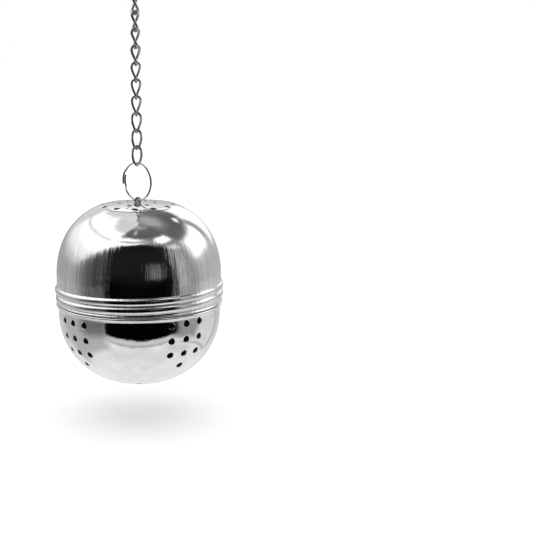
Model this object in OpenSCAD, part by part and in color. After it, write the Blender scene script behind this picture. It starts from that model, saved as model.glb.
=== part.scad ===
// Ball tea infuser on a chain.
// Two pressed steel shells screw together into a perforated ball. The upper
// shell carries a wire eyelet, the eyelet hangs in a split ring, and a chain of
// twisted links joins the ring to a bent wire hook for the rim of a cup.
// The origin is the inside of the hook's bend, +Z is up, and the ball hangs
// straight below it.

/* [Ball] */
// Outer diameter of the upper shell's wall
ball_d = 50; // [40:1:70]
// Thickness of the pressed sheet
sheet_t = 0.45; // [0.35:0.05:0.6]
// Outer diameter of the lower shell's wall
bowl_d = 49.2; // [39.2:0.1:69.2]
// Radius of the lower shell's bottom curve
bowl_curve_r = 21.4; // [15:0.1:21.6]

/* [Screw band] */
// Lead of the rolled thread
thread_pitch = 2.4; // [2.2:0.1:3]
// How far a thread ridge stands out of the sheet
thread_h = 0.5; // [0.4:0.05:0.55]
// Width of a thread ridge at its root
thread_w = 1.0; // [0.8:0.05:1.05]
// How far the rounded ridge outside the skirt stands out
band_h = 0.6; // [0.4:0.05:0.8]
// Width of the ridge outside the skirt at its root
band_w = 2.0; // [1.4:0.1:2.1]
// How far the upper shell's skirt reaches below the middle of the band
skirt_drop = 3.0; // [2.6:0.1:3.2]
// How far the lower shell's neck stands above the middle of the band
neck_rise = 2.6; // [2:0.1:3]

/* [Perforations] */
// Diameter of each punched hole
hole_d = 2; // [1:0.1:2.4]
// Radius of the outer circle of holes on top
rosette_r = 10.7; // [9:0.1:11]
// Number of holes in the outer circle on top
rosette_n = 12; // [6:1:16]
// Radius of the outer circle of holes in the bottom
base_r = 10.9; // [9:0.1:11]
// Rows and columns of each square group on the lower shell
group_n = 3; // [2:1:3]
// Angle between columns of a group
group_col_step = 11.6; // [9:0.1:15]
// Angle between rows of a group
group_row_step = 12.7; // [11:0.1:14]

/* [Chain] */
// Number of links
link_n = 14; // [14:1:14]
// Diameter of the link wire
link_wire = 0.8; // [0.6:0.05:0.85]
// Distance from one link to the next
link_pitch = 4.91; // [4.8:0.01:6]
// Radius of the link's round ends, to the middle of the wire
link_end_r = 1.27; // [1.25:0.01:1.4]
// How fast the links turn about the chain, going up from the third last
link_turn = 1.2; // [0:0.1:1.4]
// Turn of the last two links
link_lean = -36; // [-38:1:38]

/* [Ring and eyelet] */
// Outer diameter of the split ring
ring_d = 11.9; // [10:0.1:14]
// Diameter of the ring wire
ring_wire = 0.6; // [0.5:0.05:0.7]
// Diameter of the eyelet wire
eyelet_wire = 0.7; // [0.6:0.05:0.75]
// Play left between two wires that hang in each other
wire_play = 0.1; // [0.05:0.01:0.15]

/* [Hook] */
// Diameter of the hook wire
hook_wire = 0.8; // [0.6:0.05:1]
// Width of the hook's bend, between wire centres
hook_bend_w = 5.9; // [4.5:0.1:8]
// Length of the leg that goes down inside the cup
hook_leg = 10; // [8:0.5:14]

/* [Hidden] */

wire_fn = 24;
shell_fn = 96;

// ---- heights, from the hook down ----
hook_r = hook_wire / 2;
eye_r = 2.2;                                   // hook's eye, to the wire centre
eye_z = hook_r - 27.35;                        // centre of the hook's eye
eye_bottom = eye_z - eye_r;
link_len = link_pitch + link_wire + wire_play; // link, between wire centres
link_top = eye_bottom + hook_r + link_wire / 2 + wire_play;
function link_z(k) = link_top - (k - 1) * link_pitch;
function link_az(k) = k < 2 ? 120 : k > link_n - 2 ? link_lean
    : k > link_n - 3 ? link_lean / 2 : link_turn * pow(11.5 - k, 2);
chain_bottom = link_z(link_n) - link_len;
ring_r = (ring_d - ring_wire) / 2;             // ring, to the wire centre
ring_z = chain_bottom + (link_wire + ring_wire) / 2 + wire_play - ring_r;
ring_bottom = ring_z - ring_r;
ring_az = -45;
eyelet_top = ring_bottom + (ring_wire + eyelet_wire) / 2 + wire_play;
cap_top = eyelet_top - 1.5;                    // top of the ball's upper shell

// ---- profile of the shells, measured from the middle of the band ----
R = ball_d / 2;
side_z = 5.5;      // end of the straight wall
side_r = 26;       // first curve, nearly upright
side_a = 20;       // where it ends
shoulder_r = 19.6; // the shoulder
shoulder_a = 72;
edge_r = 3;        // small curve around the flat top
edge_a = 86;
c1 = [R - side_r, side_z];
c2 = c1 + (side_r - shoulder_r) * [cos(side_a), sin(side_a)];
c3 = c2 + (shoulder_r - edge_r) * [cos(shoulder_a), sin(shoulder_a)];
top_r = (c3[0] + edge_r * cos(edge_a)) / cos(edge_a);
c4 = c3 + (edge_r - top_r) * [cos(edge_a), sin(edge_a)];
cap_h = c4[1] + top_r;                         // top above the band's middle
band_z = cap_top - cap_h;                      // the band's middle in the frame

Rb = bowl_d / 2;
curve_z = -6.5;                                // start of the bottom curve
bowl_c = [Rb - bowl_curve_r, curve_z];

skirt_in = R - sheet_t;                        // inside of the skirt
neck_out = R - 1.1;                            // outside of the neck
group_az = [-56.2, 29.5, 120, -142.8];         // groups of holes, placed a little unevenly
group_tip = 1.3;                               // their plane tips towards -X
ridge_z0 = -0.5;                               // thread height at 180 degrees
band_z0 = 0.9;                                 // outer ridge height at 180 degrees

function arc(c, r, a0, a1, n) =
    [for (i = [0:n]) let (a = a0 + (a1 - a0) * i / n) c + r * [cos(a), sin(a)]];

// Outline of the upper shell, drawn k inside its outer face
function cap_line(k) = concat(
    arc(c1, side_r - k, 0, side_a, 5),
    arc(c2, shoulder_r - k, side_a + 3, shoulder_a, 14),
    arc(c3, edge_r - k, edge_a, edge_a, 1),
    arc(c4, top_r - k, 87, 90, 1));

// Outline of the lower shell's curve, drawn k inside its outer face
function bowl_line(k) = arc(bowl_c, bowl_curve_r - k, 0, -90, 18);

// ---- small helpers ----
module wire(a, b, d) {
    v = b - a;
    l = norm(v);
    translate(a)
        rotate([0, acos(v[2] / l), atan2(v[1], v[0])])
            cylinder(h = l, d = d, $fn = wire_fn);
}

// Elbow of a bent wire, a hair fuller than the wire
module dot(p, d) { translate(p) sphere(d = d * 1.02, $fn = wire_fn); }

// Bent wire in the XZ plane: straight runs with round elbows
module wire_path(pts, d) {
    for (i = [0:len(pts) - 2]) wire(pts[i], pts[i + 1], d);
    for (i = [0:len(pts) - 1]) dot(pts[i], d);
}

// Part of a wire ring in the XZ plane, from angle a0, over angle a
module wire_arc(r, d, a0, a) {
    rotate([90, 0, 0]) rotate([0, 0, a0])
        rotate_extrude(angle = a, $fn = 48)
            translate([r, 0]) circle(d = d, $fn = wire_fn);
}

// Helical ridge: root radius ra, crest radius rb, from angle f0 to f1
module ridge(ra, rb, z0, f0, f1, wide = thread_w) {
    step = 12;
    n = round((f1 - f0) / step);
    fade = 2;
    function h(i) = min(1, min(i, n - i) / fade);
    pts = [for (i = [0:n]) let (
            f = f0 + i * step,
            z = z0 + thread_pitch * (f - 180) / 360,
            rc = ra + (rb - ra) * (0.12 + 0.88 * h(i)),
            w = wide / 2 * (0.3 + 0.7 * h(i)))
        each [[ra * cos(f), ra * sin(f), z - w],
              [rc * cos(f), rc * sin(f), z - w * 0.4],
              [rc * cos(f), rc * sin(f), z + w * 0.4],
              [ra * cos(f), ra * sin(f), z + w]]];
    out = rb > ra;
    quads = [for (i = [0:n - 1], j = [0:3]) let (
            a = 4 * i + j, b = 4 * i + (j + 1) % 4)
        each [[a, b, b + 4], [a, b + 4, a + 4]]];
    ends = [[3, 2, 1], [3, 1, 0], [4 * n, 4 * n + 1, 4 * n + 2],
            [4 * n, 4 * n + 2, 4 * n + 3]];
    all = concat(quads, ends);
    polyhedron(points = pts,
        faces = out ? all : [for (f = all) [f[2], f[1], f[0]]], convexity = 6);
}

// Drain hole square to the bottom curve, at radius r
module bottom_hole(r) {
    translate([bowl_c[0], 0, curve_z])
        rotate([0, 90 + acos((r - bowl_c[0]) / bowl_curve_r), 0])
            translate([0, 0, bowl_curve_r - 2])
                cylinder(h = 4, d = hole_d, $fn = 24);
}

// ---- the pieces ----
module link_shape() {
    a = link_end_r;
    low = link_len - a;
    translate([0, 0, -a]) wire_arc(a, link_wire, 0, 180);
    translate([0, 0, -low]) rotate([0, 0, 90]) wire_arc(a, link_wire, 180, 180);
    for (s = [-1, 1]) {
        wire([s * a, 0, -a], [0, s * a, -low], link_wire);
        dot([s * a, 0, -a], link_wire);
        dot([0, s * a, -low], link_wire);
    }
}

module chain_link(k) {
    color("gainsboro")
        translate([0, 0, link_z(k)]) rotate([0, 0, link_az(k)]) link_shape();
}

module cup_hook() {
    bw = hook_bend_w / 2;
    xs = 2.7;                        // shank side of the bend
    bx = xs - bw;                    // centre of the bend
    bz = hook_r - bw;
    color("silver")
        rotate([0, 0, 10]) {
            translate([bx, 0, bz]) wire_arc(bw, hook_wire, 0, 180);
            // leg inside the cup, with its kicked-out tip
            wire_path([[bx - bw, 0, bz], [bx - bw + 0.1, 0, bz - hook_leg],
                       [bx - bw - 3.6, 0, bz - hook_leg - 2.5]], hook_wire);
            // shank, bent back over the eye
            wire_path([[xs, 0, bz], [2.75, 0, -6.2], [2.3, 0, -8.6],
                       [0.9, 0, -11.6], [-0.1, 0, -14.2], [-0.55, 0, -17],
                       [-0.5, 0, -20.2], [0.25, 0, -22.9],
                       [1.35, 0, eye_z + 1.74]], hook_wire);
            // eye for the first link, closed against the shank
            translate([0, 0, eye_z]) wire_arc(eye_r, hook_wire, 140, 272);
            wire_path([[eye_r * cos(140), 0, eye_z + eye_r * sin(140)],
                       [-0.25, hook_wire * 0.8, -22.8]], hook_wire);
        }
}

module split_ring() {
    mid = 177;                       // middle of the overlap
    lap = 28;                        // the open ends overlap by this angle
    bend = 10;                       // each end steps aside over this angle
    off = ring_wire / 2 + 0.1;       // half the step between the two ends
    color("silver")
        translate([0, 0, ring_z]) rotate([0, 0, ring_az]) {
            // straight part of the turn, then each end stepped aside
            wire_arc(ring_r, ring_wire, mid + 36, 288);
            for (s = [-1, 1]) {
                a0 = mid + s * 36;            // where the step begins
                a1 = mid + s * (36 - bend);
                p0 = [ring_r * cos(a0), 0, ring_r * sin(a0)];
                p1 = [ring_r * cos(a1), s * off, ring_r * sin(a1)];
                wire(p0, p1, ring_wire);
                dot(p0, ring_wire);
                dot(p1, ring_wire);
                translate([0, s * off, 0])
                    wire_arc(ring_r, ring_wire, s > 0 ? mid - lap / 2 : a1,
                        36 - bend + lap / 2);
            }
        }
}

module eyelet() {
    r = 1.0;
    x = 0.38;
    z = cap_top;
    color("silver")
        rotate([0, 0, ring_az + 70]) {
            translate([0, 0, eyelet_top - r]) wire_arc(r, eyelet_wire, 0, 180);
            for (s = [-1, 1])
                wire_path([[s * r, 0, eyelet_top - r], [s * x, 0, z + 0.12],
                           [s * x, 0, z - 1.05], [s * 2.4, 0, z - 1.05]],
                          eyelet_wire);
        }
}

module cap_shell() {
    color("lightgray")
        translate([0, 0, band_z]) {
            difference() {
                rotate_extrude($fn = shell_fn)
                    polygon(concat([[R, -skirt_drop]], cap_line(0),
                        [for (i = [len(cap_line(0)) - 1:-1:0]) cap_line(sheet_t)[i]],
                        [[skirt_in, -skirt_drop]]));
                // hole for the eyelet
                translate([0, 0, cap_h - 3]) cylinder(h = 6, d = 1.9, $fn = 32);
                // rosette of drain holes
                for (i = [0:rosette_n - 1])
                    rotate([0, 0, i * 360 / rosette_n - 95])
                        translate([rosette_r, 0, cap_h - 4])
                            cylinder(h = 8, d = hole_d, $fn = 24);
                for (i = [0:5])
                    rotate([0, 0, i * 60 - 118])
                        translate([rosette_r / 2, 0, cap_h - 4])
                            cylinder(h = 8, d = hole_d, $fn = 24);
            }
            // rolled ridge outside and thread inside
            ridge(R - 0.2, R + band_h, band_z0, -204, 420, band_w);
            ridge(skirt_in + 0.2, skirt_in - thread_h,
                ridge_z0 - thread_pitch / 2, 48, 516);
        }
}

module bowl_shell() {
    n_in = neck_out - sheet_t;
    fz = -skirt_drop - 0.2;          // top of the flange
    color("lightgray")
        translate([0, 0, band_z]) {
            difference() {
                // neck, flange that the skirt comes down on, wall and bottom
                rotate_extrude($fn = shell_fn)
                    polygon(concat([[neck_out, neck_rise], [neck_out, fz],
                        [Rb + 0.5, fz], [Rb + 0.7, fz - 0.2], [Rb + 0.6, fz - 0.5],
                        [Rb + 0.2, fz - 1], [Rb, fz - 1.7]],
                        bowl_line(0),
                        [[0, curve_z - bowl_curve_r],
                         [0, curve_z - bowl_curve_r + sheet_t]],
                        [for (i = [18:-1:0]) bowl_line(sheet_t)[i]],
                        [[Rb - sheet_t, fz - 1.9], [n_in, fz - 0.6],
                         [n_in, neck_rise]]));
                // four groups of drain holes
                translate([0, 0, curve_z]) rotate([0, -group_tip, 0])
                    for (g = [0:3], row = [0:group_n], col = [-1:1])
                        if (row < group_n || col == 0)
                            rotate([0, 0, group_az[g] + col * group_col_step])
                                translate([bowl_c[0], 0, 0])
                                    rotate([0, 89 + row * group_row_step, 0])
                                        translate([0, 0, bowl_curve_r - 2])
                                            cylinder(h = 4, d = hole_d, $fn = 24);
                // two circles of drain holes in the bottom
                for (i = [0:rosette_n - 1])
                    rotate([0, 0, i * 360 / rosette_n - 92]) bottom_hole(base_r);
                for (i = [0:5])
                    rotate([0, 0, i * 60 - 106]) bottom_hole(base_r / 2);
            }
            // thread on the neck
            ridge(neck_out - 0.2, neck_out + thread_h, ridge_z0, 48, 480);
        }
}

cup_hook();
chain_link(1);  // chain_link_01
chain_link(2);  // chain_link_02
chain_link(3);  // chain_link_03
chain_link(4);  // chain_link_04
chain_link(5);  // chain_link_05
chain_link(6);  // chain_link_06
chain_link(7);  // chain_link_07
chain_link(8);  // chain_link_08
chain_link(9);  // chain_link_09
chain_link(10);  // chain_link_10
chain_link(11);  // chain_link_11
chain_link(12);  // chain_link_12
chain_link(13);  // chain_link_13
chain_link(14);  // chain_link_14
split_ring();
eyelet();
cap_shell();
bowl_shell();
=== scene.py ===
import math

import bmesh
import bpy
import numpy as np
from mathutils import Matrix, Vector


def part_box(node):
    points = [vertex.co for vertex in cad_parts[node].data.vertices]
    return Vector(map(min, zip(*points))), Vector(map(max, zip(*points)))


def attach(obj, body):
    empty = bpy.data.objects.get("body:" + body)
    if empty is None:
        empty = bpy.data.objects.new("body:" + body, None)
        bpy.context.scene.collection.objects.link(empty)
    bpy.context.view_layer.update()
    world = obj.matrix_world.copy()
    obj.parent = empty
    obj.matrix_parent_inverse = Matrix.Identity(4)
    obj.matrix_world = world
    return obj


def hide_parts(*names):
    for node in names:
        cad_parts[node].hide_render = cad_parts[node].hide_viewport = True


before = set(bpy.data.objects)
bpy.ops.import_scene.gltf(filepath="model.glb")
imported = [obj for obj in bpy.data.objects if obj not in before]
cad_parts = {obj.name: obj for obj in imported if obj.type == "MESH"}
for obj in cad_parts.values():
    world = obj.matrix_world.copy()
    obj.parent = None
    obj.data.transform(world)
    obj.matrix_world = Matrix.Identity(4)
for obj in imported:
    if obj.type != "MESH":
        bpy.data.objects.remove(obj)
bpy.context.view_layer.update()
scene = bpy.context.scene
MM = 0.001

# ------------------------------------------------------------------ sizes, mm
R = 25.0                    # upper shell's wall
SHEET = 0.45
RB = 24.6                   # lower shell's wall
BOWL_R = 21.4               # its bottom curve
BOWL_Z = -6.5
PITCH = 2.4                 # screw thread
RIDGE_Z = 0.9              # ridge height at 180 degrees
RIDGE_H = 0.6
LINK_N = 14
LINK_WIRE = 0.8
LINK_PITCH = 4.91
LINK_END = 1.27
LINK_LEN = LINK_PITCH + LINK_WIRE + 0.1
LINK_TURN = 1.2
RING_D = 11.9
RING_WIRE = 0.6
RING_AZ = -45.0
EYE_WIRE = 0.7

# heights come from the frame
CAP_H = 26.8307
lo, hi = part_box("cap_shell")
CAP_TOP = hi.z / MM
BAND = CAP_TOP - CAP_H
lo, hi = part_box("chain_link_01")
LINK_TOP = hi.z / MM - LINK_WIRE / 2
lo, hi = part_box("split_ring")
RING_Z = (lo.z + hi.z) / 2 / MM
lo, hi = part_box("eyelet")
EYE_TOP = hi.z / MM - EYE_WIRE / 2


def rad(a):
    return math.radians(a)


def smooth01(t):
    t = np.clip(t, 0.0, 1.0)
    return t * t * (3 - 2 * t)


# ------------------------------------------------------------------ materials
class V:
    """A number in a node tree, with arithmetic."""

    tree = None

    def __init__(self, sock):
        self.s = sock

    @staticmethod
    def math(op, *args, clamp=False):
        n = V.tree.nodes.new("ShaderNodeMath")
        n.operation = op
        n.use_clamp = clamp
        for i, a in enumerate(args):
            if isinstance(a, V):
                V.tree.links.new(a.s, n.inputs[i])
            else:
                n.inputs[i].default_value = float(a)
        return V(n.outputs[0])

    def __add__(self, o): return V.math("ADD", self, o)
    def __radd__(self, o): return V.math("ADD", o, self)
    def __sub__(self, o): return V.math("SUBTRACT", self, o)
    def __rsub__(self, o): return V.math("SUBTRACT", o, self)
    def __mul__(self, o): return V.math("MULTIPLY", self, o)
    def __rmul__(self, o): return V.math("MULTIPLY", o, self)
    def __truediv__(self, o): return V.math("DIVIDE", self, o)
    def __rtruediv__(self, o): return V.math("DIVIDE", o, self)
    def __neg__(self): return V.math("MULTIPLY", self, -1.0)


def vabs(a): return V.math("ABSOLUTE", a)
def vmax(a, b): return V.math("MAXIMUM", a, b)
def vmin(a, b): return V.math("MINIMUM", a, b)
def vpow(a, b): return V.math("POWER", a, b)


def step(a, e0, e1):
    """0 where a is at e0, 1 at e1, smooth between."""
    n = V.tree.nodes.new("ShaderNodeMapRange")
    n.interpolation_type = "SMOOTHSTEP"
    flip = e1 < e0
    V.tree.links.new(a.s, n.inputs["Value"])
    n.inputs["From Min"].default_value = min(e0, e1)
    n.inputs["From Max"].default_value = max(e0, e1)
    n.inputs["To Min"].default_value = 1.0 if flip else 0.0
    n.inputs["To Max"].default_value = 0.0 if flip else 1.0
    return V(n.outputs["Result"])


def inside(a, a0, a1, soft):
    """1 where a lies between a0 and a1, with soft borders."""
    return step(a, a0 - soft, a0 + soft) * step(a, a1 + soft, a1 - soft)


def lay(base, value, mask):
    """value painted over base where mask is 1."""
    return base + (value - base) * mask


def combine(x, y, z):
    n = V.tree.nodes.new("ShaderNodeCombineXYZ")
    for i, a in enumerate((x, y, z)):
        if isinstance(a, V):
            V.tree.links.new(a.s, n.inputs[i])
        else:
            n.inputs[i].default_value = float(a)
    return n.outputs[0]


def noise(vec, scale=1.0, detail=2.0, rough=0.5, dims="3D"):
    n = V.tree.nodes.new("ShaderNodeTexNoise")
    n.noise_dimensions = dims
    V.tree.links.new(vec, n.inputs["Vector"])
    n.inputs["Scale"].default_value = scale
    n.inputs["Detail"].default_value = detail
    n.inputs["Roughness"].default_value = rough
    return V(n.outputs[0])


def new_material(name):
    m = bpy.data.materials.new(name)
    m.use_nodes = True
    V.tree = m.node_tree
    return m, m.node_tree.nodes["Principled BSDF"]


def put(value, socket):
    if isinstance(value, V):
        V.tree.links.new(value.s, socket)
    else:
        socket.default_value = value


def grey(v):
    """A grey colour from a number."""
    n = V.tree.nodes.new("ShaderNodeCombineColor")
    for i in range(3):
        V.tree.links.new(v.s, n.inputs[i])
    return n.outputs[0]


def object_mm():
    """Object coordinates in mm, measured from the middle of the band."""
    t = V.tree.nodes.new("ShaderNodeTexCoord")
    s = V.tree.nodes.new("ShaderNodeSeparateXYZ")
    V.tree.links.new(t.outputs["Object"], s.inputs[0])
    x, y, z = (V(s.outputs[i]) * 1000.0 for i in range(3))
    return x, y, z - BAND


def bump(height, distance, strength=1.0, normal=None):
    n = V.tree.nodes.new("ShaderNodeBump")
    n.inputs["Strength"].default_value = strength
    n.inputs["Distance"].default_value = distance
    V.tree.links.new(height.s, n.inputs["Height"])
    if normal is not None:
        V.tree.links.new(normal, n.inputs["Normal"])
    return n.outputs[0]


def shell_steel(name, brushed_to, streak, tooth, blot):
    """Polished sheet steel, brushed up and down below the height brushed_to."""
    m, b = new_material(name)
    x, y, z = object_mm()
    r = V.math("SQRT", x * x + y * y + 1e-6)
    cx, cy = x / r, y / r
    fine = noise(combine(cx * 58.0, cy * 58.0, z * 0.07), 1.0, 4.0, 0.65)
    wide = noise(combine(cx * 26.0, cy * 26.0, z * 0.05), 1.0, 2.0, 0.5)
    where = step(z, brushed_to + 5.0, brushed_to - 3.0)
    patch = noise(combine(cx * 5.0, cy * 5.0, z * 0.12), 1.0, 1.0, 0.5)
    amount = where * (0.45 + 1.1 * patch) * streak
    peel = noise(combine(x, y, z), 0.35, 2.0, 0.5)
    grain = noise(combine(x, y, z), 5.0, 2.0, 0.6)
    height = (fine - 0.5) * amount + (wide - 0.5) * amount * 1.8
    n1 = bump(height, 36e-6)
    n2 = bump(peel * 6.0 + grain * tooth, 5e-6, 1.0, n1)
    V.tree.links.new(n2, b.inputs["Normal"])
    base = 0.80 + (fine - 0.5) * 0.55 * where * (0.4 + streak * 0.6) + (grain - 0.5) * blot + (peel - 0.5) * blot
    V.tree.links.new(grey(base), b.inputs["Base Color"])
    b.inputs["Metallic"].default_value = 1.0
    put(0.035 + 0.09 * amount * fine + 0.03 * grain, b.inputs["Roughness"])
    put(where * 0.5, b.inputs["Anisotropic"])
    t = V.tree.nodes.new("ShaderNodeTangent")
    t.direction_type = "RADIAL"
    t.axis = "Z"
    V.tree.links.new(t.outputs[0], b.inputs["Tangent"])
    return m


def wire_steel(name, rough, scale, tone):
    """Drawn wire, with faint specks."""
    m, b = new_material(name)
    x, y, z = object_mm()
    speck = noise(combine(x, y, z), scale, 3.0, 0.6)
    worn = noise(combine(x, y, z), 0.8, 1.0, 0.5)
    V.tree.links.new(bump(speck, 4e-6), b.inputs["Normal"])
    V.tree.links.new(grey(tone + (speck - 0.5) * 0.2), b.inputs["Base Color"])
    b.inputs["Metallic"].default_value = 1.0
    put(rough + 0.10 * worn * speck, b.inputs["Roughness"])
    return m


cap_mat = shell_steel("cap_steel", 17.0, 1.0, 0.5, 0.06)
bowl_mat = shell_steel("bowl_steel", -60.0, 0.1, 1.0, 0.16)
rim_mat, b = new_material("punched_edge")
x, y, z = object_mm()
g = noise(combine(x, y, z), 6.0, 2.0, 0.5)
V.tree.links.new(grey(0.72 + (g - 0.5) * 0.15), b.inputs["Base Color"])
b.inputs["Metallic"].default_value = 1.0
put(0.16 + 0.1 * g, b.inputs["Roughness"])
# inner faces: the same steel painted dark (base colour 0.20), a painted shade for the dim inside of the ball seen
# through the holes
inner_shade_mat, b = new_material("inner_steel_painted_shade")
x, y, z = object_mm()
g = noise(combine(x, y, z), 1.5, 3.0, 0.6)
V.tree.links.new(grey(0.20 + (g - 0.5) * 0.12), b.inputs["Base Color"])
b.inputs["Metallic"].default_value = 1.0
put(0.38 + 0.2 * g, b.inputs["Roughness"])
link_mat = wire_steel("link_steel", 0.10, 5.0, 0.42)
ring_mat = wire_steel("ring_steel", 0.06, 3.0, 0.55)
hook_mat = wire_steel("hook_steel", 0.07, 3.0, 0.62)


# ------------------------------------------------------------------ meshes
def add_object(name, verts, faces, mats, body, node, smooth=True):
    me = bpy.data.meshes.new(name)
    me.from_pydata([tuple(v) for v in verts], [], faces)
    me.validate()
    for m in mats:
        me.materials.append(m)
    me.polygons.foreach_set("use_smooth", [smooth] * len(me.polygons))
    ob = bpy.data.objects.new(name, me)
    scene.collection.objects.link(ob)
    if body:
        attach(ob, body)
    if node:
        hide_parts(node)
    return ob


def resample(pts, spacing, closed):
    pts = np.asarray(pts, float)
    if closed:
        pts = np.vstack([pts, pts[:1]])
    seg = np.linalg.norm(np.diff(pts, axis=0), axis=1)
    keep = np.concatenate([[True], seg > 1e-6])
    pts = pts[keep]
    seg = np.linalg.norm(np.diff(pts, axis=0), axis=1)
    s = np.concatenate([[0], np.cumsum(seg)])
    n = max(4, int(round(s[-1] / spacing)))
    t = np.linspace(0, s[-1], n + 1)
    out = np.stack([np.interp(t, s, pts[:, i]) for i in range(3)], 1)
    return out[:-1] if closed else out


def relax(pts, times, closed):
    """Rounds off the corners of a path; the ends of an open one stay."""
    p = np.array(pts, float)
    for _ in range(times):
        if closed:
            p = 0.5 * p + 0.25 * (np.roll(p, 1, 0) + np.roll(p, -1, 0))
        else:
            q = p.copy()
            q[1:-1] = 0.5 * p[1:-1] + 0.25 * (p[:-2] + p[2:])
            p = q
    return p


def tube(pts, d, closed=False, sides=16, chamfer=0.25):
    """Vertices and faces of a wire along a path, in mm. Open ends are cut square with a small chamfer."""
    p = np.asarray(pts, float)
    n = len(p)
    if closed:
        t = np.roll(p, -1, 0) - np.roll(p, 1, 0)
    else:
        t = np.gradient(p, axis=0)
    t /= np.linalg.norm(t, axis=1)[:, None]
    ref = np.array([0.0, 0.0, 1.0])
    if abs(t[0] @ ref) > 0.9:
        ref = np.array([1.0, 0.0, 0.0])
    u = np.cross(t[0], ref)
    u /= np.linalg.norm(u)
    us = [u]
    for i in range(1, n):
        v = us[-1] - (us[-1] @ t[i]) * t[i]
        us.append(v / np.linalg.norm(v))
    us = np.array(us)
    if closed:  # spread the leftover twist along the loop
        v = us[-1] - (us[-1] @ t[0]) * t[0]
        v /= np.linalg.norm(v)
        w0 = np.cross(t[0], us[0])
        ang = math.atan2(v @ w0, v @ us[0])
        for i in range(n):
            a = -ang * i / n
            w = np.cross(t[i], us[i])
            us[i] = us[i] * math.cos(a) + w * math.sin(a)
    ws = np.cross(t, us)
    a = np.arange(sides) * 2 * math.pi / sides
    rings, verts, faces = [], [], []

    def ring(centre, i, rr):
        base = len(verts)
        for k in range(sides):
            verts.append(centre + rr * (math.cos(a[k]) * us[i] + math.sin(a[k]) * ws[i]))
        rings.append(base)

    r = d / 2
    if not closed:
        c = chamfer * r
        ring(p[0], 0, r - c)
        ring(p[0] + t[0] * c * 0.3, 0, r - c * 0.3)
        ring(p[0] + t[0] * c, 0, r)
        for i in range(1, n - 1):
            ring(p[i], i, r)
        ring(p[-1] - t[-1] * c, n - 1, r)
        ring(p[-1] - t[-1] * c * 0.3, n - 1, r - c * 0.3)
        ring(p[-1], n - 1, r - c)
    else:
        for i in range(n):
            ring(p[i], i, r)
    m = len(rings)
    for j in range(m if closed else m - 1):
        b0, b1 = rings[j], rings[(j + 1) % m]
        for k in range(sides):
            k2 = (k + 1) % sides
            faces.append((b0 + k, b0 + k2, b1 + k2, b1 + k))
    if not closed:
        faces.append(tuple(reversed([rings[0] + k for k in range(sides)])))
        faces.append(tuple(rings[-1] + k for k in range(sides)))
    return verts, faces


def wire_object(name, pts, d, mat, body, node, closed=False, spacing=0.16, sides=16, relaxed=6):
    p = relax(resample(pts, spacing, closed), relaxed, closed)
    verts, faces = tube(p, d, closed, sides)
    ob = add_object(name, np.array(verts) * MM, faces, [mat], body, node)
    if not closed:
        ob.data.set_sharp_from_angle(angle=rad(50))
    return ob


def revolve(name, profile, cols, bumps, mats):
    """Closed sheet: profile is a closed loop of (r, z, side, nr, nz); bumps(phi, z) moves the sheet out along r."""
    prof = np.asarray(profile, float)
    n = len(prof)
    phi = np.arange(cols) * 2 * math.pi / cols
    P = np.zeros((n, cols, 3))
    for i in range(n):
        r = prof[i, 0] + bumps(phi, prof[i, 1], prof[i, 2])
        P[i, :, 0] = r * np.cos(phi)
        P[i, :, 1] = r * np.sin(phi)
        P[i, :, 2] = prof[i, 1] + BAND
    idx = np.arange(n * cols).reshape(n, cols)
    faces = []
    for i in range(n):
        a, b = idx[i], idx[(i + 1) % n]
        for k in range(cols):
            k2 = (k + 1) % cols
            faces.append((int(a[k]), int(a[k2]), int(b[k2]), int(b[k])))
    me = bpy.data.meshes.new(name)
    me.from_pydata([tuple(v) for v in P.reshape(-1, 3) * MM], [], faces)
    for m in mats:
        me.materials.append(m)
    me.polygons.foreach_set("use_smooth", [True] * len(me.polygons))
    # faces on the inner side get material 2, the steel with painted shade
    inner = [2 if prof[i, 2] < 0 and prof[(i + 1) % n, 2] < 0 else 0 for i in range(n)]
    me.polygons.foreach_set("material_index", [inner[i] for i in range(n) for _ in range(cols)])
    ob = bpy.data.objects.new(name, me)
    scene.collection.objects.link(ob)
    bm = bmesh.new()
    bm.from_mesh(me)
    bmesh.ops.recalc_face_normals(bm, faces=bm.faces)
    bm.to_mesh(me)
    bm.free()
    return ob


def cutter(holes, mats, flare=0.11):
    """Punches: for each hole (centre, outward axis, radius, half length, sheet), a pin that flares where it meets each face of the sheet."""
    verts, faces = [], []
    sides = 40
    for c, ax, r, out, into in holes:
        ax = Vector(ax).normalized()
        lip = 0.04 if ax.z < -0.9 else flare       # the bottom's edges are nearly square
        u = ax.orthogonal().normalized()
        w = ax.cross(u)
        # stations along the axis from inside to outside: 0 is the outer face of the sheet
        st = [(-into, r + 0.02), (-SHEET - 0.35, r + 0.02), (-SHEET - 0.02, r + 0.02), (-SHEET + 0.10, r)]
        for k in range(0, 7):
            a = k / 6 * math.pi / 2
            st.append((-lip * math.cos(a) - 0.0, r + lip * (1 - math.sin(math.pi / 2 - a))))
        st.append((0.02, r + lip * 1.12))
        st.append((out, r + lip * 1.12 + 0.35))
        base = len(verts)
        for s, rr in st:
            for k in range(sides):
                a = 2 * math.pi * k / sides
                verts.append(Vector(c) + ax * s + (u * math.cos(a) + w * math.sin(a)) * rr)
        m = len(st)
        for j in range(m - 1):
            for k in range(sides):
                k2 = (k + 1) % sides
                faces.append((base + j * sides + k, base + j * sides + k2,
                              base + (j + 1) * sides + k2, base + (j + 1) * sides + k))
        faces.append(tuple(reversed([base + k for k in range(sides)])))
        faces.append(tuple(base + (m - 1) * sides + k for k in range(sides)))
    me = bpy.data.meshes.new("punches")
    me.from_pydata([tuple(v * MM) for v in verts], [], faces)
    for m in mats:
        me.materials.append(m)
    me.polygons.foreach_set("material_index", [1] * len(me.polygons))
    me.polygons.foreach_set("use_smooth", [True] * len(me.polygons))
    ob = bpy.data.objects.new("punches", me)
    scene.collection.objects.link(ob)
    return ob


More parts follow.
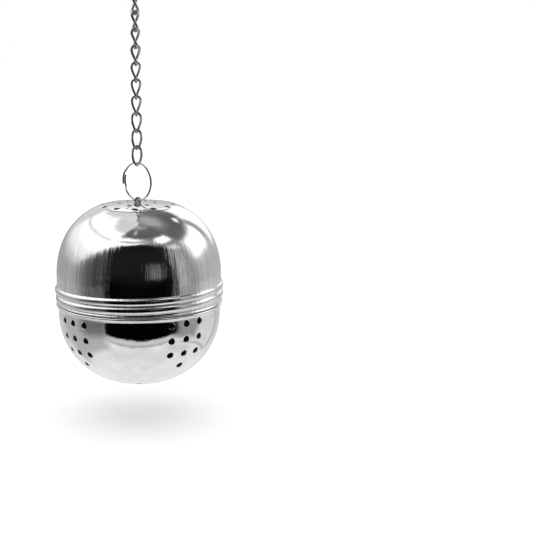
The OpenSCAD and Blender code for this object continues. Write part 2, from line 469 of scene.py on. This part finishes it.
def punch(shell, pins):
    """Cuts the pins out of the shell and keeps the sheet's own smooth shading."""
    whole = shell.copy()
    whole.data = shell.data.copy()
    scene.collection.objects.link(whole)
    mod = shell.modifiers.new("punch", "BOOLEAN")
    mod.operation = "DIFFERENCE"
    mod.object = pins
    mod.solver = "MANIFOLD"
    deps = bpy.context.evaluated_depsgraph_get()
    me = bpy.data.meshes.new_from_object(shell.evaluated_get(deps))
    shell.modifiers.clear()
    old = shell.data
    shell.data = me
    bpy.data.meshes.remove(old)
    # vertex group of the sheet's own faces
    vg = shell.vertex_groups.new(name="sheet")
    own = set()
    lips = set()
    for p in me.polygons:
        (lips if p.material_index == 1 else own).update(p.vertices)
    vg.add(sorted(own), 1.0, "REPLACE")
    me.polygons.foreach_set("use_smooth", [True] * len(me.polygons))
    dt = shell.modifiers.new("shade", "DATA_TRANSFER")
    dt.object = whole
    dt.use_loop_data = True
    dt.data_types_loops = {"CUSTOM_NORMAL"}
    dt.loop_mapping = "POLYINTERP_NEAREST"
    dt.vertex_group = "sheet"
    deps = bpy.context.evaluated_depsgraph_get()
    me2 = bpy.data.meshes.new_from_object(shell.evaluated_get(deps))
    shell.modifiers.clear()
    shell.data = me2
    bpy.data.meshes.remove(me)
    bpy.data.objects.remove(whole)
    bpy.data.objects.remove(pins)
    return shell


# ---- profiles ----
def arc(cx, cz, r, a0, a1, n, k=0.0):
    out = []
    for i in range(n + 1):
        a = rad(a0 + (a1 - a0) * i / n)
        out.append((cx + (r - k) * math.cos(a), cz + (r - k) * math.sin(a), math.cos(a), math.sin(a)))
    return out


def cap_arcs():
    side_z, side_r, side_a, sh_r, sh_a, ed_r, ed_a = 5.5, 26.0, 20.0, 19.6, 72.0, 3.0, 86.0
    c1 = (R - side_r, side_z)
    c2 = (c1[0] + (side_r - sh_r) * math.cos(rad(side_a)), c1[1] + (side_r - sh_r) * math.sin(rad(side_a)))
    c3 = (c2[0] + (sh_r - ed_r) * math.cos(rad(sh_a)), c2[1] + (sh_r - ed_r) * math.sin(rad(sh_a)))
    top_r = (c3[0] + ed_r * math.cos(rad(ed_a))) / math.cos(rad(ed_a))
    c4 = (c3[0] + (ed_r - top_r) * math.cos(rad(ed_a)), c3[1] + (ed_r - top_r) * math.sin(rad(ed_a)))
    return [(c1, side_r, 0, side_a), (c2, sh_r, side_a, sh_a), (c3, ed_r, sh_a, ed_a), (c4, top_r, ed_a, 90)]


def ridge(phi, z, f0, f1, z0, h, w, fade0, fade1, power=2.0):
    """How far the rolled ridge stands out at angle phi (radians) and height z."""
    deg = np.degrees(phi) % 360.0
    out = np.zeros_like(deg)
    for k in range(-2, 3):
        F = deg + 360.0 * k
        zc = z0 + PITCH * (F - 180.0) / 360.0
        t = np.clip(np.abs(z - zc) / w, 0, 1)
        b = 1 - t ** power
        f = smooth01((F - f0) / fade0) * smooth01((f1 - F) / fade1)
        out = np.maximum(out, h * b * f)
    return out


CAP_F0, CAP_F1 = -204.0, 430.0


def cap_bumps(phi, z, side):
    if z > 5.0:
        return np.zeros_like(phi)
    b = ridge(phi, z, CAP_F0, CAP_F1, RIDGE_Z, RIDGE_H, 1.17, 50, 60, 2.6)
    # the edge of the skirt flares a little
    lip = 0.22 * float(smooth01(np.array((-2.3 - z) / 0.5)))
    return np.maximum(b, lip)


def cap_profile():
    outer = []
    for z in np.arange(-SKIRT + 0.16, 5.4, 0.09):
        outer.append((R, z, 1.0, 0.0))
    steps = [12, 40, 8, 14]
    (c1, r1, a0, a1), (c2, r2, b0, b1), (c3, r3, d0, d1), (c4, r4, e0, e1) = cap_arcs()
    line = arc(*c1, r1, a0, a1, 12) + arc(*c2, r2, b0, b1, 40)[1:] + arc(*c3, r3, d0, d1, 8)[1:]
    end = 90 - math.degrees(math.asin(0.95 / r4))
    line += arc(*c4, r4, e0, end, 14)[1:]
    outer += [(p[0], p[1], p[2], p[3]) for p in line]
    inner = [(p[0] - SHEET * p[2], p[1] - SHEET * p[3], p[2], p[3]) for p in outer]
    loop = []
    for p in outer:
        loop.append((p[0], p[1], 1))
    # rounded edge of the centre hole
    ro, zo = outer[-1][0], outer[-1][1]
    for k in range(1, 4):
        a = k / 4 * math.pi
        loop.append((ro - 0.5 * SHEET * math.sin(a) * 0.4, zo - 0.5 * SHEET * (1 - math.cos(a)), 1))
    for p in reversed(inner):
        loop.append((p[0], p[1], -1))
    # rolled edge of the skirt
    zb = outer[0][1]
    for k in range(1, 6):
        a = k / 6 * math.pi
        loop.append((R - SHEET / 2 - SHEET / 2 * math.cos(a), zb - 0.16 * math.sin(a), 0))
    return loop


SKIRT = 3.0


def cap_holes():
    """Centre, axis and radius of each hole of the rosette; the axis is the sheet's own normal."""
    holes = []
    (c4, r4) = cap_arcs()[3][0], cap_arcs()[3][1]
    (c3, r3) = cap_arcs()[2][0], cap_arcs()[2][1]
    for i in range(12):
        a = rad(i * 30 - 95)
        rr = 10.7
        # the outer circle straddles the small curve, so its axis leans a little
        z = cap_height(rr)
        holes.append((Vector((rr * math.cos(a), rr * math.sin(a), z + BAND)),
                      Vector((0.12 * math.cos(a), 0.12 * math.sin(a), 1)), 1.0, 0.7, 1.6))
    for i in range(6):
        a = rad(i * 60 - 118)
        rr = 5.35
        z = cap_height(rr)
        holes.append((Vector((rr * math.cos(a), rr * math.sin(a), z + BAND)),
                      Vector((0.05 * math.cos(a), 0.05 * math.sin(a), 1)), 1.0, 0.7, 1.6))
    return holes


def cap_height(rr):
    line = []
    for (c, r, a0, a1) in cap_arcs():
        line += arc(*c, r, a0, a1, 60)
    rs = np.array([p[0] for p in line])[::-1]
    zs = np.array([p[1] for p in line])[::-1]
    return float(np.interp(rr, rs, zs))


bowl_c = (RB - BOWL_R, BOWL_Z)
FL_TOP = -3.2               # flange under the skirt


def bowl_bumps(phi, z, side):
    if z < -2.9:
        return np.zeros_like(phi)
    return ridge(phi, z, -130, 370, RIDGE_Z, 0.42, 0.7, 50, 50)


def bowl_profile():
    outer = []

    def seg(a, b, n):
        for i in range(n):
            t = i / n
            outer.append((a[0] + (b[0] - a[0]) * t, a[1] + (b[1] - a[1]) * t))

    neck = 23.9
    seg((neck, 2.45), (neck, -2.85), 50)
    # concave corner, then the flange's upper face
    for i in range(5):
        a = rad(180 + 90 * i / 4)
        outer.append((neck + 0.3 + 0.3 * math.cos(a), -2.88 + 0.3 * math.sin(a)))
    seg((neck + 0.42, FL_TOP), (24.86, FL_TOP), 4)
    for i in range(15):
        a = rad(90 - 140 * i / 14)
        outer.append((24.86 + 0.44 * math.cos(a), FL_TOP - 0.44 + 0.44 * math.sin(a)))
    # slope under the flange, faired into the wall
    p0 = outer[-1]
    p1 = (24.72, -4.25)
    p2 = (RB, -4.50)
    p3 = (RB, -5.15)
    seg(p0, p1, 5)
    for i in range(10):
        t = i / 9
        q = [(1 - t) ** 2 * p1[j] + 2 * t * (1 - t) * p2[j] + t * t * p3[j] for j in (0, 1)]
        outer.append(tuple(q))
    seg((RB, -5.25), (RB, BOWL_Z), 4)
    for i in range(53):
        a = rad(-88.0 * i / 52)
        outer.append((bowl_c[0] + BOWL_R * math.cos(a), bowl_c[1] + BOWL_R * math.sin(a)))
    # flat middle: last ring close to the axis
    zb = bowl_c[1] - BOWL_R
    for rr in (3.1, 2.2, 1.3, 0.5):
        outer.append((rr, zb))
    o = np.array(outer)
    t = np.gradient(o, axis=0)
    t /= np.linalg.norm(t, axis=1)[:, None]
    nrm = np.stack([-t[:, 1], t[:, 0]], 1)      # to the left of the way down: outwards
    nrm *= np.sign(nrm[:1, 0] + 1e-9)
    inner = o - nrm * SHEET
    for _ in range(12):                          # even out where the offset bunches up
        inner[1:-1] = 0.5 * inner[1:-1] + 0.25 * (inner[:-2] + inner[2:])
    inner[:, 0] = np.maximum(inner[:, 0], 0.3)
    loop = [(p[0], p[1], 1) for p in outer]
    loop += [(p[0], p[1], -1) for p in inner[::-1]]
    # rounded top edge of the neck
    zt = outer[0][1]
    for k in range(1, 6):
        a = k / 6 * math.pi
        loop.append((neck - SHEET / 2 - SHEET / 2 * math.cos(a), zt + 0.16 * math.sin(a), 0))
    return loop


GROUP_AZ = (-56.2, 29.5, 120.0, -142.8)
BASE_R = 10.9               # circle of holes on the bottom


def bowl_holes():
    holes = []
    tip = Matrix.Rotation(rad(-1.3), 3, "Y")     # the groups' plane tips towards -X
    pole = Vector((0, 0, bowl_c[1] + BAND))
    for g in range(4):
        for row in range(4):
            for col in ((-1, 0, 1) if row < 3 else (0,)):
                a = rad(GROUP_AZ[g] + col * 11.6)
                e = rad(1 - row * 12.7)
                ax = Vector((math.cos(e) * math.cos(a), math.cos(e) * math.sin(a), math.sin(e)))
                c = Vector((bowl_c[0] * math.cos(a), bowl_c[0] * math.sin(a), 0)) + ax * BOWL_R
                holes.append((pole + tip @ c, tip @ ax, 1.0, 0.6, 1.5))
    for n, rr, off in ((12, BASE_R, -92.0), (6, BASE_R / 2, -106.0)):
        for i in range(n):
            a = rad(i * 360 / n + off)
            s = (rr - bowl_c[0]) / BOWL_R
            e = -math.acos(s)
            ax = Vector((math.cos(e) * math.cos(a), math.cos(e) * math.sin(a), math.sin(e)))
            c = Vector((bowl_c[0] * math.cos(a), bowl_c[0] * math.sin(a), bowl_c[1] + BAND)) + ax * BOWL_R
            holes.append((c, ax, 1.0, 0.6, 1.5))
    return holes


COLS = 360
cap = revolve("cap_sheet", cap_profile(), COLS, cap_bumps, [cap_mat, rim_mat, inner_shade_mat])
punch(cap, cutter(cap_holes(), [cap_mat, rim_mat, inner_shade_mat]))


def bowl_mesh():
    """The lower shell closes on the axis, so its two faces are separate fans joined at the neck's edge."""
    loop = bowl_profile()
    # order: outer down to the axis, inner back up, edge
    n = len(loop)
    phi = np.arange(COLS) * 2 * math.pi / COLS
    split = next(i for i in range(n) if loop[i][2] == -1)
    verts, faces, rings = [], [], []
    for (r, z, side) in loop:
        rr = r + bowl_bumps(phi, z, side)
        base = len(verts)
        for k in range(COLS):
            verts.append((rr[k] * math.cos(phi[k]) * MM, rr[k] * math.sin(phi[k]) * MM, (z + BAND) * MM))
        rings.append(base)
    for i in range(n):
        if i == split - 1:
            continue
        a, b = rings[i], rings[(i + 1) % n]
        for k in range(COLS):
            k2 = (k + 1) % COLS
            faces.append((a + k, a + k2, b + k2, b + k))
    for i, z in ((split - 1, loop[split - 1][1]), (split, loop[split][1])):
        c = len(verts)
        verts.append((0, 0, (z + BAND) * MM))
        a = rings[i]
        for k in range(COLS):
            k2 = (k + 1) % COLS
            faces.append((a + k, a + k2, c) if i == split - 1 else (a + k2, a + k, c))
    # faces on the inner side get material 2, the steel with painted shade
    inner = [2 if loop[i][2] < 0 and loop[(i + 1) % n][2] < 0 else 0 for i in range(n) if i != split - 1]
    index = [v for v in inner for _ in range(COLS)] + [0] * COLS + [2] * COLS
    me = bpy.data.meshes.new("bowl_sheet")
    me.from_pydata(verts, [], faces)
    for m in (bowl_mat, rim_mat, inner_shade_mat):
        me.materials.append(m)
    me.polygons.foreach_set("use_smooth", [True] * len(me.polygons))
    me.polygons.foreach_set("material_index", index)
    ob = bpy.data.objects.new("bowl_sheet", me)
    scene.collection.objects.link(ob)
    bm = bmesh.new()
    bm.from_mesh(me)
    bmesh.ops.recalc_face_normals(bm, faces=bm.faces)
    bm.to_mesh(me)
    bm.free()
    return ob


bowl = bowl_mesh()
punch(bowl, cutter(bowl_holes(), [bowl_mat, rim_mat, inner_shade_mat]))
for ob, body, node in ((cap, "cap", "cap_shell"), (bowl, "bowl", "bowl_shell")):
    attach(ob, body)
    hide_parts(node)


# ---- chain ----
def link_az(k):
    return 120.0 if k < 2 else -36.0 if k > LINK_N - 2 else -18.0 if k > LINK_N - 3 else LINK_TURN * (11.5 - k) ** 2


def link_path(k):
    a, L = LINK_END, LINK_LEN
    pts = []
    n = 160
    top, low = -a, -(L - a)
    for i in range(n):
        t = i / n
        # start in the middle of one side, where the wire's two ends meet
        s = (t * 2 * (math.pi * a + (top - low)))
        side = top - low
        half = side / 2
        per = [half, math.pi * a, side, math.pi * a, half]
        if s < per[0]:
            x, z = a, (top + low) / 2 + s
        elif s < per[0] + per[1]:
            q = (s - per[0]) / a
            x, z = a * math.cos(q), top + a * math.sin(q)
        elif s < sum(per[:3]):
            x, z = -a, top - (s - per[0] - per[1])
        elif s < sum(per[:4]):
            q = math.pi + (s - sum(per[:3])) / a
            x, z = a * math.cos(q), low + a * math.sin(q)
        else:
            x, z = a, low + (s - sum(per[:4]))
        u = min(1.0, max(0.0, (-z - 0.45 * a) / (L - 0.9 * a)))
        u = 0.75 * u + 0.25 * u * u * (3 - 2 * u)
        swell = 1.0 + 0.06 * math.sin(math.pi * min(1, max(0, -z / L)))
        th = rad(90.0 * u + link_az(k))
        pts.append((x * swell * math.cos(th), x * swell * math.sin(th), z + LINK_TOP - (k - 1) * LINK_PITCH))
    return pts


for k in range(1, LINK_N + 1):
    p = link_path(k)
    p = resample(p, 0.2, True)
    p = relax(p, 3, True)
    p = np.vstack([p, p[:1] + (p[-1:] - p[:1]) * 0.25])
    verts, faces = tube(p, LINK_WIRE, False, 14, 0.12)
    ob = add_object("link_wire_%02d" % k, np.array(verts) * MM, faces, [link_mat], "link_%02d" % k,
                    "chain_link_%02d" % k)
    ob.data.set_sharp_from_angle(angle=rad(50))


# ---- ring ----
def in_plane(az, x, y, z):
    c, s = math.cos(rad(az)), math.sin(rad(az))
    return (x * c - y * s, x * s + y * c, z)


ring_r = (RING_D - RING_WIRE) / 2
OFF = 0.4
pts = []
for a in np.arange(163, 551.01, 2.0):
    if a < 215:
        off = OFF * (1 - float(smooth01(np.array((a - 199) / 14.0))))
    elif a > 501:
        off = -OFF * float(smooth01(np.array((a - 501) / 14.0)))
    else:
        off = 0.0
    pts.append(in_plane(RING_AZ, ring_r * math.cos(rad(a)), off, RING_Z + ring_r * math.sin(rad(a))))
wire_object("ring_wire", pts, RING_WIRE, ring_mat, "ring", "split_ring", spacing=0.25, sides=18, relaxed=3)

# ---- eyelet ----
EYE_AZ = RING_AZ + 70
pts = []
er = 1.0
ez = EYE_TOP - er
pts += [(-2.4, 0, CAP_TOP - 1.0), (-1.2, 0, CAP_TOP - 1.0), (-0.46, 0, CAP_TOP - 0.85), (-0.38, 0, CAP_TOP - 0.3),
        (-0.36, 0, CAP_TOP + 0.10)]
for a in np.arange(180, -1, -10):
    pts.append((er * math.cos(rad(a)), 0, ez + er * math.sin(rad(a))))
pts += [(0.36, 0, CAP_TOP + 0.10), (0.38, 0, CAP_TOP - 0.3), (0.46, 0, CAP_TOP - 0.85), (1.2, 0, CAP_TOP - 1.0),
        (2.4, 0, CAP_TOP - 1.0)]
pts = [in_plane(EYE_AZ, *p) for p in pts]
wire_object("eye_wire", pts, EYE_WIRE, ring_mat, "eye", "eyelet", spacing=0.12, sides=16, relaxed=4)

# ---- hook ----
HW = 0.8
bw = 5.9 / 2
xs = 2.7
bx = xs - bw
bz = HW / 2 - bw
eye_z = HW / 2 - 27.35
pts = [(bx - bw - 3.6, 0, bz - 12.5), (bx - bw + 0.1, 0, bz - 10)]
for z in np.arange(bz - 9, bz, 1.0):
    pts.append((bx - bw, 0, z))
for a in range(180, -1, -10):
    pts.append((bx + bw * math.cos(rad(a)), 0, bz + bw * math.sin(rad(a))))
pts += [(2.75, 0, -6.2), (2.3, 0, -8.6), (0.9, 0, -11.6), (-0.1, 0, -14.2), (-0.55, 0, -17), (-0.5, 0, -20.2),
        (0.25, 0, -22.9), (1.35, 0, eye_z + 1.74)]
for a in np.arange(40, -220, -12):
    pts.append((2.2 * math.cos(rad(a)), 0, eye_z + 2.2 * math.sin(rad(a))))
pts += [(2.2 * math.cos(rad(140)), 0.05, eye_z + 2.2 * math.sin(rad(140))), (-0.25, HW * 0.8, -22.8)]
pts = [in_plane(10, *p) for p in pts]
wire_object("hook_wire", pts, HW, hook_mat, "hook", "cup_hook", spacing=0.3, sides=18, relaxed=5)


# ------------------------------------------------------------------ stage
me = bpy.data.meshes.new("floor")
FL = (BAND - 39.3) * MM
me.from_pydata([(-6, -6, FL), (6, -6, FL), (6, 6, FL), (-6, 6, FL)], [], [(0, 1, 2, 3)])
floor = bpy.data.objects.new("floor", me)
scene.collection.objects.link(floor)
fm, b = new_material("floor_white")
t = V.tree.nodes.new("ShaderNodeTexCoord")
g = noise(t.outputs["Object"], 3.0, 2.0, 0.5)
V.tree.links.new(grey(0.93 + (g - 0.5) * 0.01), b.inputs["Base Color"])
b.inputs["Roughness"].default_value = 0.9
b.inputs["Specular IOR Level"].default_value = 0.1
me.materials.append(fm)
floor.visible_glossy = False

# ---- studio: a white tent with a dark opening in front, painted by direction ----
world = bpy.data.worlds.new("studio")
scene.world = world
world.use_nodes = True
V.tree = world.node_tree
bg = world.node_tree.nodes["Background"]
tc = V.tree.nodes.new("ShaderNodeTexCoord")
sp = V.tree.nodes.new("ShaderNodeSeparateXYZ")
V.tree.links.new(tc.outputs["Generated"], sp.inputs[0])
dx, dy, dz = V(sp.outputs[0]), V(sp.outputs[1]), V(sp.outputs[2])
az = V.math("ARCTAN2", dx, -dy) * (180 / math.pi)
el = V.math("ARCSINE", dz) * (180 / math.pi)
front = step(dy, 0.0, -0.05)
depth = vmax(-dy, 0.05)
u, v = dx / depth, dz / depth
waver = noise(combine(dx, dy, dz), 4.0, 2.0, 0.5) - 0.5
waver2 = noise(combine(dx, dy, dz), 14.0, 2.0, 0.5) - 0.5

# display brightness of the tent, painted over azimuth (0 in front, + to the right) and elevation
def patch(base, value, a0, a1, sa, e0, e1, se, ripple=0.0):
    m = inside(az + waver * ripple, a0, a1, sa) * inside(el + waver * ripple, e0, e1, se)
    return lay(base, value, m)


left = lay(0.60, 0.72, step(el, 0, 8))
left = lay(left, 0.92, step(el + waver * 6, 6, 18))
left = lay(left, 1.04, step(el, 20, 36))
left = lay(left, 0.79, step(el + waver * 8 - (az + 100.0) * 0.05, 64, 72))
left = lay(left, 0.82, step(az, -138, -156) * step(el, 46, 56))
arc_el = 52.0 - (az + 60.0) * (az + 60.0) * 0.0026
left = lay(left, 0.84, inside(el - arc_el, -1.8, 1.8, 1.6) * inside(az, -158, -58, 6))
left = lay(left, 0.78, inside(az, -172, -150, 6) * inside(el, 8, 34, 7))
right = lay(0.66, 0.76, step(el, 2, 14))
right = lay(right, 0.45, step(el + waver * 10, 37, 45))
right = lay(right, 0.36, inside(az + waver * 12, 72, 160, 14) * inside(el + waver * 14, 44, 62, 7))
right = patch(right, 0.62, 96, 176, 12, 66, 84, 7, 8)
right = patch(right, 1.12, 88, 130, 5, 13, 37, 4, 4)
right = patch(right, 0.98, 141, 170, 3, 2, 41, 4, 4)
right = patch(right, 0.58, 132, 141, 3, 5, 40, 4)
right = lay(right, 0.50, inside(az + el * 0.25, 70, 88, 6) * inside(el, -14, 50, 7))
right = patch(right, 0.95, 128, 142, 3, 46, 51, 1.5, 4)
tent = lay(left, right, step(az, -5, 25) * step(az, 180.0, 174.0))
# thin dark line of the far wall's upper edge
# thin dark line where the flat top meets the shoulder
hx, hy, hz = dx, dy - 0.99, dz + 0.135
rise = V.math("ARCSINE", hz / V.math("SQRT", hx * hx + hy * hy + hz * hz + 1e-6)) * (180 / math.pi)
side = V.math("ARCTAN2", hx, -hy) * (180 / math.pi)
edge_line = inside(rise + waver * 0.8, 66.4, 67.6, 0.35) * inside(side, -52, 52, 8)
tent = lay(tent, 0.80, inside(rise, 60.5, 67, 1.5) * inside(side, -46, -4, 4))
# grey ceiling above the opening
ceil = 0.38 + waver * 0.25
ceil = lay(ceil, 0.34, inside(az, -14, 48, 14) * inside(el, 60, 72, 6))
ceil = lay(ceil, 0.60, step(el, 76, 86))
tent = lay(tent, ceil, inside(az + waver * 10, -44, 74, 9) * step(el + waver * 8, 59, 65))
tent = lay(tent, 0.70, inside(az, -16, -5, 3) * inside(el, 70, 78, 3))
tent = lay(tent, 0.60, inside(az, -42, 34, 6) * inside(el - vabs(az) * -0.05, 55.2, 58.2, 1.0))
tent = patch(tent, 1.2, 38, 68, 4, 48, 59, 3, 5)
tent = patch(tent, 1.1, 62, 68, 2, 33, 41, 3, 2)
tent = lay(tent, 0.36, edge_line)
# low grey wall on the left
slope = el + vabs(az + 51.0) * 0.75
tent = lay(tent, 0.40, inside(az, -92, -48, 9) * step(slope, 43, 36) * step(el, -60, -20))
tent = lay(tent, 0.24, inside(az, -74, -48, 9) * step(slope, 40, 26) * step(el, -60, -20))
# below the horizon the table is pale
table = 0.86 + waver * 0.10
table = lay(table, 0.74, step(el + waver * 8, -36, -16))
table = lay(table, 0.62, inside(v, -0.98, -0.84, 0.06) * inside(az, -50, 48, 12))
table = lay(table, 0.76, inside(v, -0.84, -0.66, 0.04) * inside(az, -50, 48, 8))
table = lay(table, 0.66, inside(az + waver * 14, -134, -52, 12) * step(el + waver * 8, -52, -40))
table = lay(table, 0.42, inside(az, -92, -45, 14) * step(el, -34, -16))
table = lay(table, 0.42, inside(az, 48, 70, 6) * step(el, -32, -20))
table = lay(table, 0.66, inside(az, 60, 132, 8) * inside(el, -35.5, -33, 1.2))
table = lay(table, 0.66, inside(az, 133, 142, 3) * inside(el, -32, -10, 3))
table = lay(table, 0.80, inside(az, 72, 134, 6) * step(el, -32, -30))
table = lay(table, 0.55, inside(az + waver * 14, 62, 92, 7) * step(el + waver * 8, -31, -24))
table = lay(table, 0.78, inside(az, 48, 92, 9) * inside(el + waver * 8, -49, -37, 3))
table = lay(table, 0.82, inside(az, -64, 64, 12) * inside(el + waver * 12, -68, -50, 6))
below = step(el, -9, -15)
tent = lay(tent, table, below)
# the dark opening with its bright seam
ou = inside(u + waver * 0.03, -1.20, 1.45, 0.035)
ov = inside(v + waver * 0.05, -0.64, 1.28, 0.04)
hole = ou * ov * front
seam = inside(u, -1.29, -1.21, 0.02) * inside(v, -0.62, 1.2, 0.08) * front
dark = 0.03 + 0.09 * vabs(waver)
dark = lay(dark, 0.15, step(vabs(u), 0.85, 1.4))
dark = lay(dark, 0.30, inside(az, 44, 57, 3) * inside(el, 18, 44, 8) * step(waver2, -0.05, 0.1))
glow = inside(az, 15, 33, 3) * inside(el, -1, 20, 3)
strips = noise(combine(az * 0.45, el * 0.03, 0.0), 1.0, 2.0, 0.6)
dark = lay(dark, 0.56, glow * (0.25 + 0.9 * step(strips, 0.42, 0.62)))
tent = lay(tent, dark, hole)
tent = lay(tent, 0.52, seam * (0.35 + 0.9 * step(waver2, -0.06, 0.06)))
radiance = vpow(vmax(tent, 0.0), 2.2) * 1.28
lp = V.tree.nodes.new("ShaderNodeLightPath")
cam_ray = V(lp.outputs["Is Camera Ray"])
gloss = V(lp.outputs["Is Glossy Ray"])
light = lay(1.32, radiance, gloss)
final = lay(light, 1.0, cam_ray)
V.tree.links.new(grey(final), bg.inputs["Color"])
bg.inputs["Strength"].default_value = 1.0

# ------------------------------------------------------------------ camera
cd = bpy.data.cameras.new("camera")
cd.sensor_fit = "HORIZONTAL"
cd.sensor_width = 36
cd.lens = 1180.0 / 533 * 36
cd.shift_x = 0.2398
cd.clip_start = 0.01
cd.clip_end = 50
cam = bpy.data.objects.new("camera", cd)
cam.location = (0, -0.35211, BAND * MM + 0.07493)
cam.rotation_euler = (Matrix.Rotation(rad(90 - 10.874), 3, "X") @ Matrix.Rotation(rad(-0.85), 3, "Z")).to_euler()
scene.collection.objects.link(cam)
scene.camera = cam
scene.view_settings.view_transform = "Standard"

bpy.context.view_layer.update()
